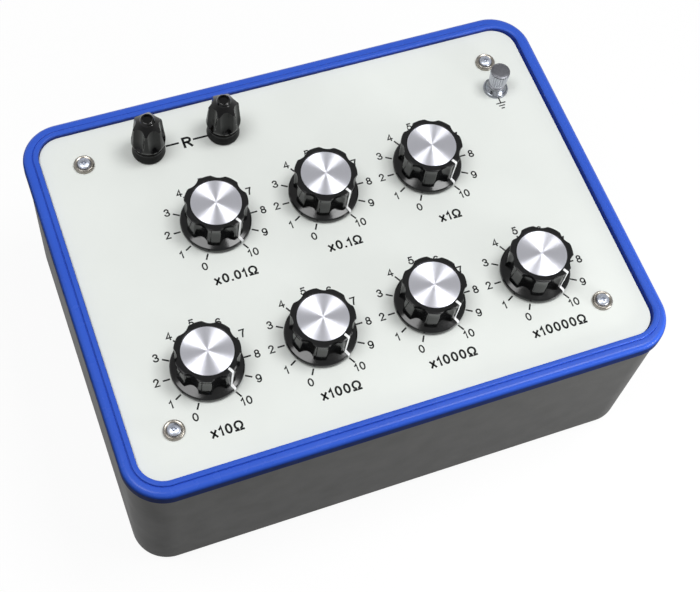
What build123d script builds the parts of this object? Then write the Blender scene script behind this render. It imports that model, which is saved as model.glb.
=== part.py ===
from build123d import *
import os
from math import atan, cos, degrees, radians, sin

os.makedirs("parts", exist_ok=True)

# Resistance decade box. Millimetres, +Z up, +X to the right along the rows of dials, +Y to the back.
# The origin is the centre of the underside, at the height of the rubber feet's lower faces.

# Bezel and panel: the opening is the panel's visible outline
OPENING_X = 237.0
OPENING_Y = 175.0
OPENING_CORNER = 11.5
PANEL_T = 2.0
PANEL_GAP = 0.2
LIP_WIDTH = 2.4
LIP_STEP = 0.8
BAND_RISE = 1.4
BAND_WIDTH = 1.8
BEZEL_EDGE_R = 3.0
LEDGE_WIDTH = 3.5
LEDGE_T = 2.8
SPIGOT_WALL = 2.6
SPIGOT_DEPTH = 3.2
SPIGOT_GAP = 0.15
OVERHANG = 1.0

# Moulded tub
TUB_HEIGHT = 81.7
TUB_WALL = 3.0
TUB_FLOOR = 3.0
TUB_DRAFT = 0.98
TUB_EDGE = 1.6
BOSS_R = 5.0
BOSS_HOLE_DEPTH = 14.0
RIB_T = 2.0
RIB_DROP = 12.0

# Feet
FOOT_R = 8.0
FOOT_PROUD = 2.0
FOOT_DRAFT = 12.0
FOOT_INSET = 18.5

# Panel screws and cup washers, with their insets from the opening's edges
SCREW_R = 1.5
SCREW_LENGTH = 14.0
SCREW_HEAD_R = 2.95
SCREW_CONE = 1.45
SCREW_CROWN_R = 1.9
SCREW_CROWN = 0.8
SCREW_CROSS = 3.4
SCREW_CROSS_T = 0.75
SCREW_CROSS_DEPTH = 1.0
SCREW_CLEARANCE = 0.1
SCREW_INSET_X = 18.9
SCREW_INSET_BACK = 17.8
SCREW_INSET_FRONT = 20.8
CUP_R = 4.95
CUP_TOP_R = 3.7
CUP_HEIGHT = 1.6

# Dials: four in the front row, three in the back row, half a pitch across
DIAL_PITCH = 51.3
ROW_DISTANCE = 67.2
FRONT_COUNT = 4
BACK_COUNT = 3
FRONT_X = -77.8
FRONT_Y = -43.7
FIRST_POSITION = -120.0
POSITION_STEP = 30.0
POSITIONS = 11

# Knob: a skirt, a body with seven finger flutes, and a turned aluminium disc on top
SKIRT_R = 16.0
SKIRT_LIFT = 0.9
SKIRT_RIM = 1.6
SKIRT_SLOPE = 2.0
KNOB_R = 14.15
KNOB_BODY = 12.6
FLUTES = 7
FLUTE_R = 3.75
FLUTE_AXIS_R = 16.7
POINTER_ANGLE = -60.0
DISC_R = 11.3
DISC_T = 0.5
KNOB_CAVITY_AF = 17.4
KNOB_CAVITY = 3.5

# Switch: a bushing staked into a bent frame, a nut, a wafer with lugs, a rotor on the shaft's tang
SHAFT_R = 3.0
SHAFT_FLAT = 2.4
SHAFT_FIT = 0.05
SHAFT_INTO_KNOB = 10.0
BUSHING_R = 4.9
BUSHING_RISE = 3.2
HOLE_CLEARANCE = 0.15
NUT_AF = 14.0
NUT_T = 2.2
FRAME_T = 1.4
FRAME_WIDTH = 16.0
FRAME_TURN = 15.0
INDEX_SIZE = 22.0
INDEX_T = 6.0
LEG_EDGE = 2.0
LEG_T = 1.2
LEG_WIDTH = 6.0
TONGUE_WIDTH = 3.0
TONGUE_PROUD = 0.8
WAFER_DROP = 20.0
WAFER_R = 19.0
WAFER_T = 2.0
WAFER_HOLE_R = 6.5
LUG_EDGE = 8.0
LUG_PROUD = 5.0
LUG_WIDTH = 2.4
LUG_T = 0.6
TANG_WIDTH = 4.8
TANG_T = 2.0
TANG_PROUD = 1.5
HUB_R = 6.0
ARM_WIDTH = 4.0
ARM_T = 0.8
ARM_LAP = 2.8
ARM_CLEAR = 0.1
CARD_LENGTH = 10.6
CARD_T = 2.0
CARD_HEIGHT = 8.0
CARD_INSET = 2.0
WIRE = 1.2

# Resistance terminals, with insets from the opening's left and back edges
TERMINAL_INSET_X = 48.9
TERMINAL_INSET_Y = 18.9
TERMINAL_PITCH = 35.6
BASE_R = 7.7
BASE_HEIGHT = 6.5
BASE_NECK_R = 4.5
INSULATOR_SIZE = 13.0
INSULATOR_T = 2.0
STUD_R = 3.0
STUD_BELOW = 16.0
STUD_TOP = 25.0
STUD_NUT_AF = 10.0
STUD_NUT_T = 4.0
SOCKET_R = 2.05
SOCKET_DEPTH = 16.0
CLAMP_R = 6.6
CLAMP_T = 1.0
CAP_HEIGHT = 18.5
CAP_RIM_R = 8.0
CAP_RIM = 1.0
CAP_RIM_DRAFT = 0.4
CAP_SHOULDER_R = 6.9
CAP_SHOULDER = 14.2
CAP_TOP_R = 3.2
CAP_HOLE_R = 2.4
CAP_ROOF = 0.8
CAP_FLUTES = 6
CAP_FLUTE_R = 2.8
CAP_FLUTE_IN = 5.0
CAP_FLUTE_OUT = 8.0
CAP_FLUTE_START = 2.0
CAP_TURN = (68.0, 54.0)
SEAT_GAP = 0.05

# Earth post, with insets from the opening's right and back edges
EARTH_INSET_X = 19.9
EARTH_INSET_Y = 33.2
EARTH_FLANGE_R = 5.95
EARTH_FLANGE_T = 2.2
EARTH_NECK_R = 4.0
EARTH_NECK = 1.2
EARTH_STUD_R = 2.0
EARTH_STUD_BELOW = 10.0
EARTH_STUD_TOP = 12.0
EARTH_NUT_AF = 7.0
EARTH_NUT_T = 3.2
EARTH_CLAMP_R = 4.6
EARTH_CLAMP_T = 1.0
THUMB_COLLAR_R = 4.3
THUMB_COLLAR = 1.5
THUMB_R = 4.85
THUMB_GRIP = 8.0
THUMB_CHAMFER = 0.5
THUMB_CEILING = 0.9

# Levels and outlines that follow
RIM_Z = FOOT_PROUD + TUB_HEIGHT
PANEL_UNDER = RIM_Z + LEDGE_T
PANEL_TOP = PANEL_UNDER + PANEL_T
BAND_Z = PANEL_TOP + BAND_RISE
LIP_Z = BAND_Z + LIP_STEP
BEZEL_BAND = LIP_WIDTH + BAND_WIDTH + BEZEL_EDGE_R
TUB_OUT = BEZEL_BAND - OVERHANG

DIALS = [(FRONT_X + DIAL_PITCH * (i + 0.5), FRONT_Y + ROW_DISTANCE) for i in range(BACK_COUNT)]
DIALS += [(FRONT_X + DIAL_PITCH * i, FRONT_Y) for i in range(FRONT_COUNT)]
SCREW_X = OPENING_X / 2 - SCREW_INSET_X
SCREW_YS = (OPENING_Y / 2 - SCREW_INSET_BACK, -OPENING_Y / 2 + SCREW_INSET_FRONT)
SCREWS = [(x, y) for x in (-SCREW_X, SCREW_X) for y in SCREW_YS]
TERMINAL_X = -OPENING_X / 2 + TERMINAL_INSET_X
TERMINAL_Y = OPENING_Y / 2 - TERMINAL_INSET_Y
TERMINALS = [(TERMINAL_X, TERMINAL_Y), (TERMINAL_X + TERMINAL_PITCH, TERMINAL_Y)]
EARTH = (OPENING_X / 2 - EARTH_INSET_X, OPENING_Y / 2 - EARTH_INSET_Y)
FOOT_X = OPENING_X / 2 + TUB_OUT - FOOT_INSET
FOOT_Y = OPENING_Y / 2 + TUB_OUT - FOOT_INSET
FEET = [(x, y) for x in (-FOOT_X, FOOT_X) for y in (-FOOT_Y, FOOT_Y)]

LEG_R = WAFER_R - LEG_EDGE
LUG_IN_R = WAFER_R - LUG_EDGE
LUG_OUT_R = WAFER_R + LUG_PROUD
ARM_R = LUG_IN_R + ARM_LAP
CARD_R = LUG_OUT_R - CARD_INSET
WAFER_TOP = PANEL_UNDER - WAFER_DROP
WAFER_UNDER = WAFER_TOP - WAFER_T
LUG_TOP = WAFER_TOP + LUG_T
SKIRT_Z = PANEL_TOP + SKIRT_LIFT
KNOB_BODY_Z = SKIRT_Z + SKIRT_RIM + SKIRT_SLOPE
KNOB_TOP_Z = KNOB_BODY_Z + KNOB_BODY
SHAFT_TOP = SKIRT_Z + KNOB_CAVITY + SHAFT_INTO_KNOB
INDEX_UNDER = PANEL_UNDER - INDEX_T
TANG_END = WAFER_UNDER - TANG_PROUD
CLAMP_Z = PANEL_TOP + BASE_HEIGHT + SEAT_GAP
CAP_Z = CLAMP_Z + CLAMP_T + SEAT_GAP
CAP_CEILING = CAP_Z + CAP_HEIGHT - CAP_ROOF
EARTH_CLAMP_Z = PANEL_TOP + EARTH_FLANGE_T + EARTH_NECK + SEAT_GAP
THUMB_Z = EARTH_CLAMP_Z + EARTH_CLAMP_T + SEAT_GAP


def save(name, pieces):
    """Writes the solids of one node."""
    solids = [solid for piece in pieces for solid in piece.solids()]
    export_step(Compound(children=solids), f"parts/{name}.step")


def slab(out, low, high, draft=0.0):
    """A rounded rectangle that stands out from the opening's outline, between two heights."""
    outline = RectangleRounded(OPENING_X + 2 * out, OPENING_Y + 2 * out, OPENING_CORNER + out)
    return extrude(Pos(0, 0, low) * outline, high - low, taper=draft)


def rod(radius, low, high):
    return Pos(0, 0, low) * Cylinder(radius, high - low, align=(Align.CENTER, Align.CENTER, Align.MIN))


def turned(*profile):
    """A turned solid from (radius, height) points."""
    outline = Polyline([(radius, 0, height) for radius, height in profile], close=True)
    return revolve(make_face(outline), Axis.Z)


def block(x_range, y_range, low, high):
    size = (x_range[1] - x_range[0], y_range[1] - y_range[0], high - low)
    middle = ((x_range[0] + x_range[1]) / 2, (y_range[0] + y_range[1]) / 2, (low + high) / 2)
    return Pos(*middle) * Box(*size)


def bar(start, end, width, low, high):
    """A flat bar along +X from one radius to another."""
    return block((start, end), (-width / 2, width / 2), low, high)


def hexagon(across_flats, low, high):
    outline = RegularPolygon(across_flats / 2, 6, major_radius=False)
    return extrude(Pos(0, 0, low) * outline, high - low)


def at(places, piece):
    return [Pos(x, y, 0) * piece for x, y in places]


def wire(*points):
    """A square wire in runs along the axes."""
    half = WIRE / 2
    runs = []
    for start, end in zip(points, points[1:]):
        low = [min(a, b) - half for a, b in zip(start, end)]
        high = [max(a, b) + half for a, b in zip(start, end)]
        runs.append(block((low[0], high[0]), (low[1], high[1]), low[2], high[2]))
    return Part() + runs


def case_tub():
    """The moulded tub: drafted walls, a floor with a chamfered edge, screw bosses with ribs."""
    outer = slab(TUB_OUT, RIM_Z, FOOT_PROUD, TUB_DRAFT)
    outer = chamfer(outer.faces().sort_by(Axis.Z)[0].edges(), TUB_EDGE)
    cavity = slab(TUB_OUT - TUB_WALL, RIM_Z, FOOT_PROUD + TUB_FLOOR, TUB_DRAFT)
    ribs = []
    for x, y in SCREWS:
        side = 1 if x > 0 else -1
        end = 1 if y > 0 else -1
        wall_x = side * (OPENING_X / 2 + TUB_OUT)
        wall_y = end * (OPENING_Y / 2 + TUB_OUT)
        rib_top = PANEL_UNDER - RIB_DROP
        x_span = sorted((x, wall_x))
        y_span = sorted((y, wall_y))
        ribs.append(block(x_span, (y - RIB_T / 2, y + RIB_T / 2), FOOT_PROUD + TUB_FLOOR / 2, rib_top))
        ribs.append(block((x - RIB_T / 2, x + RIB_T / 2), y_span, FOOT_PROUD + TUB_FLOOR / 2, rib_top))
    tub = outer - cavity + [rib & outer for rib in ribs]
    tub += at(SCREWS, rod(BOSS_R, FOOT_PROUD + TUB_FLOOR / 2, PANEL_UNDER))
    return tub - at(SCREWS, rod(SCREW_R, PANEL_UNDER - BOSS_HOLE_DEPTH, PANEL_UNDER))


def bezel_frame():
    """The frame: lip, step, band and rounded edge outside; panel ledge and tub spigot inside."""
    band = slab(BEZEL_BAND, RIM_Z, BAND_Z)
    band = fillet(band.faces().sort_by(Axis.Z)[-1].edges(), BEZEL_EDGE_R)
    lip = slab(LIP_WIDTH, RIM_Z, LIP_Z)
    spigot = slab(TUB_OUT - TUB_WALL - SPIGOT_GAP, RIM_Z - SPIGOT_DEPTH, RIM_Z)
    spigot -= slab(TUB_OUT - TUB_WALL - SPIGOT_GAP - SPIGOT_WALL, RIM_Z - SPIGOT_DEPTH, RIM_Z)
    seat = slab(0, PANEL_UNDER, LIP_Z)
    window = slab(-LEDGE_WIDTH, RIM_Z, LIP_Z)
    return band + lip - seat - window + spigot


def front_panel():
    panel = slab(-PANEL_GAP, PANEL_UNDER, PANEL_TOP)
    panel -= at(DIALS, rod(BUSHING_R + HOLE_CLEARANCE, PANEL_UNDER, PANEL_TOP))
    panel -= at(SCREWS, rod(SCREW_R + SCREW_CLEARANCE, PANEL_UNDER, PANEL_TOP))
    panel -= at(TERMINALS, rod(BASE_NECK_R + SCREW_CLEARANCE, PANEL_UNDER, PANEL_TOP))
    return panel - at([EARTH], rod(EARTH_STUD_R + SCREW_CLEARANCE, PANEL_UNDER, PANEL_TOP))


def panel_screw():
    """A raised countersunk screw with a cross recess."""
    head_z = PANEL_TOP + SCREW_CONE
    crown_z = head_z + SCREW_CROWN
    screw = turned(
        (0, PANEL_TOP - SCREW_LENGTH),
        (SCREW_R, PANEL_TOP - SCREW_LENGTH),
        (SCREW_R, PANEL_TOP),
        (SCREW_HEAD_R, head_z),
        (SCREW_CROWN_R, crown_z),
        (0, crown_z),
    )
    slot = bar(-SCREW_CROSS / 2, SCREW_CROSS / 2, SCREW_CROSS_T, crown_z - SCREW_CROSS_DEPTH, crown_z)
    return screw - (slot + Rot(0, 0, 90) * slot)


def cup_washer():
    """Turned cup whose cone follows the screw's head."""
    seat_r = SCREW_R + SCREW_CLEARANCE
    widening = (SCREW_HEAD_R - SCREW_R) / SCREW_CONE
    return turned(
        (CUP_R, PANEL_TOP),
        (CUP_TOP_R, PANEL_TOP + CUP_HEIGHT),
        (seat_r + widening * CUP_HEIGHT, PANEL_TOP + CUP_HEIGHT),
        (seat_r, PANEL_TOP),
    )


def rubber_foot():
    outline = Pos(0, 0, FOOT_PROUD) * Circle(FOOT_R)
    return extrude(outline, -FOOT_PROUD, taper=FOOT_DRAFT)


def d_profile(gap):
    """The shaft's section: a circle with one flat."""
    section = Circle(SHAFT_R + gap)
    edge = SHAFT_FLAT + gap
    return section - Pos(edge + SHAFT_R, 0) * Rectangle(2 * SHAFT_R, 4 * SHAFT_R)


def knob_outline():
    """The body's section: a circle with finger flutes, one land under the pointer."""
    outline = Circle(KNOB_R)
    for i in range(FLUTES):
        turn = radians(POINTER_ANGLE + 180.0 + 360.0 / FLUTES * i)
        outline -= Pos(FLUTE_AXIS_R * cos(turn), FLUTE_AXIS_R * sin(turn)) * Circle(FLUTE_R)
    return outline


def knob():
    """Skirt and fluted body, with a core over the nut and a D bore from below."""
    skirt = turned(
        (0, SKIRT_Z),
        (SKIRT_R, SKIRT_Z),
        (SKIRT_R, SKIRT_Z + SKIRT_RIM),
        (KNOB_R, KNOB_BODY_Z),
        (0, KNOB_BODY_Z),
    )
    body = extrude(Pos(0, 0, KNOB_BODY_Z) * knob_outline(), KNOB_BODY)
    core = extrude(Pos(0, 0, SKIRT_Z) * RegularPolygon(KNOB_CAVITY_AF / 2, 8, major_radius=False), KNOB_CAVITY)
    bore = extrude(Pos(0, 0, SKIRT_Z) * Rot(0, 0, POINTER_ANGLE) * d_profile(0), SHAFT_TOP - SKIRT_Z)
    return skirt + body - core - bore


def knob_disc():
    return rod(DISC_R, KNOB_TOP_Z, KNOB_TOP_Z + DISC_T)


def switch_shaft():
    """Round shaft with a flat inside the knob and a flat tang through the rotor."""
    shaft = rod(SHAFT_R, INDEX_UNDER, SHAFT_TOP)
    flat = extrude(Pos(0, 0, SKIRT_Z + KNOB_CAVITY) * (Circle(2 * SHAFT_R) - d_profile(0)), SHAFT_INTO_KNOB)
    tang = bar(-TANG_WIDTH / 2, TANG_WIDTH / 2, TANG_T, TANG_END, INDEX_UNDER)
    return Rot(0, 0, POINTER_ANGLE) * (shaft - flat + tang)


def switch_rotor():
    """Hub on the tang with a wiper arm that points where the knob points."""
    hub = extrude(Pos(0, 0, WAFER_UNDER) * RegularPolygon(HUB_R, 6), LUG_TOP + ARM_CLEAR + ARM_T - WAFER_UNDER)
    arm_z = LUG_TOP + ARM_CLEAR
    arm = bar(0, ARM_R, ARM_WIDTH, arm_z, arm_z + ARM_T)
    tang = bar(-TANG_WIDTH / 2, TANG_WIDTH / 2, TANG_T, WAFER_UNDER, arm_z + ARM_T)
    return Rot(0, 0, POINTER_ANGLE) * (hub + arm - tang)


def tongue_slots(low, high):
    slot = block((LEG_R - LEG_T / 2, LEG_R + LEG_T / 2), (-TONGUE_WIDTH / 2, TONGUE_WIDTH / 2), low, high)
    return [Rot(0, 0, FRAME_TURN) * slot, Rot(0, 0, FRAME_TURN + 180) * slot]


def switch_frame():
    """Bushing, plate, index box and two bent legs whose tongues pass through the wafer."""
    half = LEG_R + LEG_T / 2
    frame = bar(-half, half, FRAME_WIDTH, PANEL_UNDER - FRAME_T, PANEL_UNDER)
    frame += bar(-INDEX_SIZE / 2, INDEX_SIZE / 2, INDEX_SIZE, INDEX_UNDER, PANEL_UNDER)
    for side in (-1, 1):
        outer = sorted((side * (LEG_R - LEG_T / 2), side * half))
        frame += block(outer, (-LEG_WIDTH / 2, LEG_WIDTH / 2), WAFER_TOP, PANEL_UNDER)
    frame = Rot(0, 0, FRAME_TURN) * frame
    frame += tongue_slots(WAFER_UNDER - TONGUE_PROUD, WAFER_TOP + LEG_T)
    frame += rod(BUSHING_R, INDEX_UNDER, PANEL_TOP + BUSHING_RISE)
    return frame - rod(SHAFT_R + SHAFT_FIT, INDEX_UNDER, PANEL_TOP + BUSHING_RISE)


def switch_nut():
    nut = hexagon(NUT_AF, PANEL_TOP, PANEL_TOP + NUT_T)
    return nut - rod(BUSHING_R, PANEL_TOP, PANEL_TOP + NUT_T)


def wafer():
    """Twelve-sided wafer with the rotor's hole and the frame's slots."""
    sides = 12
    half_side = 180 / sides
    outline = Rot(0, 0, half_side) * RegularPolygon(WAFER_R, sides, major_radius=False)
    outline -= Rot(0, 0, half_side) * RegularPolygon(WAFER_HOLE_R, sides, major_radius=False)
    plate = extrude(Pos(0, 0, WAFER_UNDER) * outline, WAFER_T)
    return plate - tongue_slots(WAFER_UNDER, WAFER_TOP)


def lugs():
    """A lug at each position and the collector lug between the last and the first."""
    lug = bar(LUG_IN_R, LUG_OUT_R, LUG_WIDTH, WAFER_TOP, LUG_TOP)
    return [Rot(0, 0, FIRST_POSITION - POSITION_STEP * i) * lug for i in range(POSITIONS + 1)]


def cards():
    """Resistor cards that stand on neighbouring lugs, one for each step of the decade."""
    card = block((CARD_R - CARD_T / 2, CARD_R + CARD_T / 2), (-CARD_LENGTH / 2, CARD_LENGTH / 2),
                 LUG_TOP, LUG_TOP + CARD_HEIGHT)
    return [Rot(0, 0, FIRST_POSITION - POSITION_STEP * (i + 0.5)) * card for i in range(POSITIONS - 1)]


def terminal_base():
    """Insulating base: a drum on the panel and a neck through it, bored for the stud."""
    base = rod(BASE_R, PANEL_TOP, PANEL_TOP + BASE_HEIGHT) + rod(BASE_NECK_R, PANEL_UNDER, PANEL_TOP)
    return base - rod(STUD_R, PANEL_UNDER, PANEL_TOP + BASE_HEIGHT)


def terminal_stud():
    stud = rod(STUD_R, PANEL_UNDER - STUD_BELOW, PANEL_TOP + STUD_TOP)
    return stud - rod(SOCKET_R, PANEL_TOP + STUD_TOP - SOCKET_DEPTH, PANEL_TOP + STUD_TOP)


def ring(outer, inner, low, high):
    return rod(outer, low, high) - rod(inner, low, high)


def terminal_cap(turn):
    """Clamp cap: round rim at the foot, scooped flutes that run out above it, lobed cone on top."""
    top = CAP_Z + CAP_HEIGHT
    cap = turned(
        (0, CAP_Z),
        (CAP_RIM_R - CAP_RIM_DRAFT, CAP_Z),
        (CAP_RIM_R, CAP_Z + CAP_RIM),
        (CAP_SHOULDER_R, CAP_Z + CAP_SHOULDER),
        (CAP_TOP_R, top),
        (0, top),
    )
    rise = CAP_SHOULDER - CAP_FLUTE_START
    lean = degrees(atan((CAP_FLUTE_OUT - CAP_FLUTE_IN) / rise))
    scoop = Pos(CAP_FLUTE_IN + CAP_FLUTE_R, 0, CAP_Z + CAP_SHOULDER) * Rot(0, -lean, 0) * Cylinder(
        CAP_FLUTE_R, 3 * CAP_HEIGHT)
    cap -= [Rot(0, 0, turn + 360 / CAP_FLUTES * (i + 0.5)) * scoop for i in range(CAP_FLUTES)]
    cap -= rod(STUD_R + SHAFT_FIT, CAP_Z, CAP_CEILING)
    return cap - rod(CAP_HOLE_R, CAP_CEILING, top)


def earth_base():
    high = PANEL_TOP + EARTH_FLANGE_T
    base = rod(EARTH_FLANGE_R, PANEL_TOP, high) + rod(EARTH_NECK_R, high, high + EARTH_NECK)
    return base - rod(EARTH_STUD_R, PANEL_TOP, high + EARTH_NECK)


def earth_thumb_nut():
    """Collar, grip and chamfered top, with a blind bore for the stud."""
    grip_z = THUMB_Z + THUMB_COLLAR
    top = grip_z + THUMB_GRIP + THUMB_CHAMFER
    bore_r = EARTH_STUD_R + SHAFT_FIT
    bore_top = PANEL_TOP + EARTH_STUD_TOP + THUMB_CEILING
    return turned(
        (bore_r, THUMB_Z),
        (THUMB_COLLAR_R, THUMB_Z),
        (THUMB_COLLAR_R, grip_z),
        (THUMB_R, grip_z),
        (THUMB_R, top - THUMB_CHAMFER),
        (THUMB_R - THUMB_CHAMFER, top),
        (0, top),
        (0, bore_top),
        (bore_r, bore_top),
    )


def bus_wires():
    """The links between neighbouring dials of a row: last lug of one to first lug of the next."""
    level = WAFER_TOP - WIRE / 2
    reach = LUG_OUT_R - WIRE
    lug_turn = radians(FIRST_POSITION)
    lug_x = reach * cos(lug_turn)
    lug_y = reach * sin(lug_turn)
    back = DIALS[:BACK_COUNT]
    front = DIALS[BACK_COUNT:]
    wires = []
    for row in (back, front):
        for (x, y), (next_x, next_y) in zip(row, row[1:]):
            wires.append(wire((x, y - reach, level), (next_x + lug_x, y - reach, level),
                              (next_x + lug_x, next_y + lug_y, level)))
    return wires


save("case_tub", [case_tub()])
save("bezel_frame", [bezel_frame()])
save("front_panel", [front_panel()])
save("panel_screws", at(SCREWS, panel_screw()))
save("cup_washers", at(SCREWS, cup_washer()))
save("rubber_feet", at(FEET, rubber_foot()))
save("switch_frames", at(DIALS, switch_frame()))
save("switch_nuts", at(DIALS, switch_nut()))
save("switch_wafers", at(DIALS, wafer()))
save("switch_lugs", [piece for lug in lugs() for piece in at(DIALS, lug)])
save("resistor_cards", [piece for card in cards() for piece in at(DIALS, card)])
save("bus_wires", bus_wires())
save("terminal_bases", at(TERMINALS, terminal_base()))
half_plate = INSULATOR_SIZE / 2
insulator = bar(-half_plate, half_plate, INSULATOR_SIZE, PANEL_UNDER - INSULATOR_T, PANEL_UNDER)
insulator -= rod(STUD_R, PANEL_UNDER - INSULATOR_T, PANEL_UNDER)
save("terminal_insulators", at(TERMINALS, insulator))
save("terminal_studs", at(TERMINALS, terminal_stud()))
nut_top = PANEL_UNDER - INSULATOR_T
stud_nut = hexagon(STUD_NUT_AF, nut_top - STUD_NUT_T, nut_top) - rod(STUD_R, nut_top - STUD_NUT_T, nut_top)
save("terminal_nuts", at(TERMINALS, stud_nut))
save("earth_base", at([EARTH], earth_base()))
save("earth_stud", at([EARTH], rod(EARTH_STUD_R, PANEL_UNDER - EARTH_STUD_BELOW, PANEL_TOP + EARTH_STUD_TOP)))
earth_nut = hexagon(EARTH_NUT_AF, PANEL_UNDER - EARTH_NUT_T, PANEL_UNDER)
save("earth_back_nut", at([EARTH], earth_nut - rod(EARTH_STUD_R, PANEL_UNDER - EARTH_NUT_T, PANEL_UNDER)))

shared_knob = knob()
shared_shaft = switch_shaft()
shared_rotor = switch_rotor()
for number, place in enumerate(DIALS, start=1):
    save(f"knob_{number}", at([place], shared_knob))
    save(f"knob_disc_{number}", at([place], knob_disc()))
    save(f"switch_shaft_{number}", at([place], shared_shaft))
    save(f"switch_rotor_{number}", at([place], shared_rotor))

clamp_washer = ring(CLAMP_R, STUD_R + SHAFT_FIT, CLAMP_Z, CLAMP_Z + CLAMP_T)
for number, place in enumerate(TERMINALS, start=1):
    save(f"terminal_cap_{number}", at([place], terminal_cap(CAP_TURN[number - 1])))
    save(f"clamp_washer_{number}", at([place], clamp_washer))
save("earth_thumb_nut", at([EARTH], earth_thumb_nut()))
earth_clamp = ring(EARTH_CLAMP_R, EARTH_STUD_R + SHAFT_FIT, EARTH_CLAMP_Z, EARTH_CLAMP_Z + EARTH_CLAMP_T)
save("earth_clamp_washer", at([EARTH], earth_clamp))
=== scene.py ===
from math import cos, pi, radians, sin, sqrt, tan

import bpy
import numpy as np
from mathutils import Matrix, Vector


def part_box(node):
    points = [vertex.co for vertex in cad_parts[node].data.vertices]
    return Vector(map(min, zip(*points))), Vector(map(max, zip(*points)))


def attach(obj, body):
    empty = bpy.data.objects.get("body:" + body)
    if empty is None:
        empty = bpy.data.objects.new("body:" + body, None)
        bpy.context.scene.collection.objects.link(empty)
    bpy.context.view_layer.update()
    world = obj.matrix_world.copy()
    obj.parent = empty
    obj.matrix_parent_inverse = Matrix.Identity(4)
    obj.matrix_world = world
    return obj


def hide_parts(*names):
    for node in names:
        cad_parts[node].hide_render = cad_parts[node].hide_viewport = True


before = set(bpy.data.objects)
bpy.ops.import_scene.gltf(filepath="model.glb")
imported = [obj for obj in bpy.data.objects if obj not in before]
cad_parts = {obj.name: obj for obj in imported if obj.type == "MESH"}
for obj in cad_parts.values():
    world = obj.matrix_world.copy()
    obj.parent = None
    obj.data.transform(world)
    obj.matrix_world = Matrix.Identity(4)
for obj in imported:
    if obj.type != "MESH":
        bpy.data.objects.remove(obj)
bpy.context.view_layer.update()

# Resistance decade box. Sizes are written in millimetres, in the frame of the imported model:
# +Z up, +X to the right along the rows of dials, +Y to the back.
MM = 0.001

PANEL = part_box("front_panel")[1].z / MM
# The opening in the bezel: width, depth and corner radius
OPENING = (237.0, 175.0, 11.5)
# The tub's top edge, above the table
RIM = 82.7
# Heights above the panel
KNOB_TOP = 17.35
CAP_LOW = 7.6
# The knobs' skirt and its cone's slope
SKIRT_R = 16.0
SKIRT_SLOPE = 0.34
# A dial's directions in degrees: position 0, the clockwise step, and the pointer at position 10
DIAL_FIRST = -120
DIAL_STEP = 30
POINTER = -60.0


def middle(node):
    """Where a node stands, in mm from the middle of the box."""
    low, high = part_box(node)
    return ((low.x + high.x) / 2 / MM, (low.y + high.y) / 2 / MM)


DIALS = [middle(f"knob_disc_{i}") for i in range(1, 8)]
TERMINALS = [middle(f"clamp_washer_{i}") for i in (1, 2)]
EARTH = middle("earth_clamp_washer")
# The caps' turns in degrees, one for each terminal
CAP_TURNS = (68.0, 54.0)
SCREWS = [(x, y) for x in (-99.6, 99.6) for y in (69.7, -66.7)]
FEET = [(x, y) for x in (-106.2, 106.2) for y in (-75.2, 75.2)]


# Profiles and skins

def soften(points, closed=False, steps=5):
    """Rounds a profile of (out, height, corner radius) points with true arcs."""
    rounded = []
    count = len(points)
    for i, point in enumerate(points):
        corner = Vector(point[:2])
        radius = point[2] if len(point) > 2 else 0
        if not radius or (not closed and i in (0, count - 1)):
            rounded.append(tuple(corner))
            continue
        before = (Vector(points[i - 1][:2]) - corner).normalized()
        after = (Vector(points[(i + 1) % count][:2]) - corner).normalized()
        half_turn = (pi - before.angle(after)) / 2
        reach = radius * tan(half_turn)
        start = corner + before * reach
        end = corner + after * reach
        weight = cos(half_turn)
        for step in range(steps + 1):
            t = step / steps
            parts = ((1 - t) ** 2, 2 * t * (1 - t) * weight, t ** 2)
            spot = (start * parts[0] + corner * parts[1] + end * parts[2]) / sum(parts)
            rounded.append(tuple(spot))
    return rounded


def circle(radius, height, samples=96):
    """A ring of points; a radius of nothing is a pole.

    radius may be a function of the angle, and height a function of the radius there."""
    if not callable(radius) and radius < 1e-6:
        return [(0.0, 0.0, height)]
    angles = [2 * pi * i / samples for i in range(samples)]
    reach = [radius(a) if callable(radius) else radius for a in angles]
    return [(r * cos(a), r * sin(a), height(r) if callable(height) else height)
            for r, a in zip(reach, angles)]


def frame_line(out, height, steps=14, right=0.0):
    """The panel opening's rounded rectangle, moved outwards, and more so on its right, at a height."""
    half_x, half_y, corner = OPENING[0] / 2, OPENING[1] / 2, OPENING[2]
    line = []
    for quarter, (sx, sy) in enumerate(((1, 1), (-1, 1), (-1, -1), (1, -1))):
        for i in range(steps + 1):
            a = pi / 2 * (quarter + i / steps)
            reach = corner + out + right * max(cos(a), 0.0) ** 2
            x = sx * (half_x - corner) + reach * cos(a)
            y = sy * (half_y - corner) + reach * sin(a)
            line.append((x, y, height))
    return line


def skin(name, rings, finish, closed=False, sharp=38):
    """A piece whose skin runs through rings of points, up outside and inwards on top."""
    samples = max(len(ring) for ring in rings)
    points = [point for ring in rings for point in ring]
    starts = np.cumsum([0] + [len(ring) for ring in rings])
    faces = []
    last = len(rings) if closed else len(rings) - 1
    for k in range(last):
        low, high = k, (k + 1) % len(rings)
        for i in range(samples):
            j = (i + 1) % samples
            face = []
            for ring, spot in ((low, i), (low, j), (high, j), (high, i)):
                corner = int(starts[ring] + spot % len(rings[ring]))
                if corner not in face:
                    face.append(corner)
            if len(face) > 2:
                faces.append(face)
    return piece(name, points, faces, finish, sharp)


def turned(name, profile, finish, samples=80, base=PANEL, closed=False, steps=3):
    """A turned piece from a profile of (radius, height above the base, corner radius) points."""
    rings = [circle(r, base + z, samples) for r, z in soften(profile, steps=steps)]
    return skin(name, rings, finish, closed)


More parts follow.
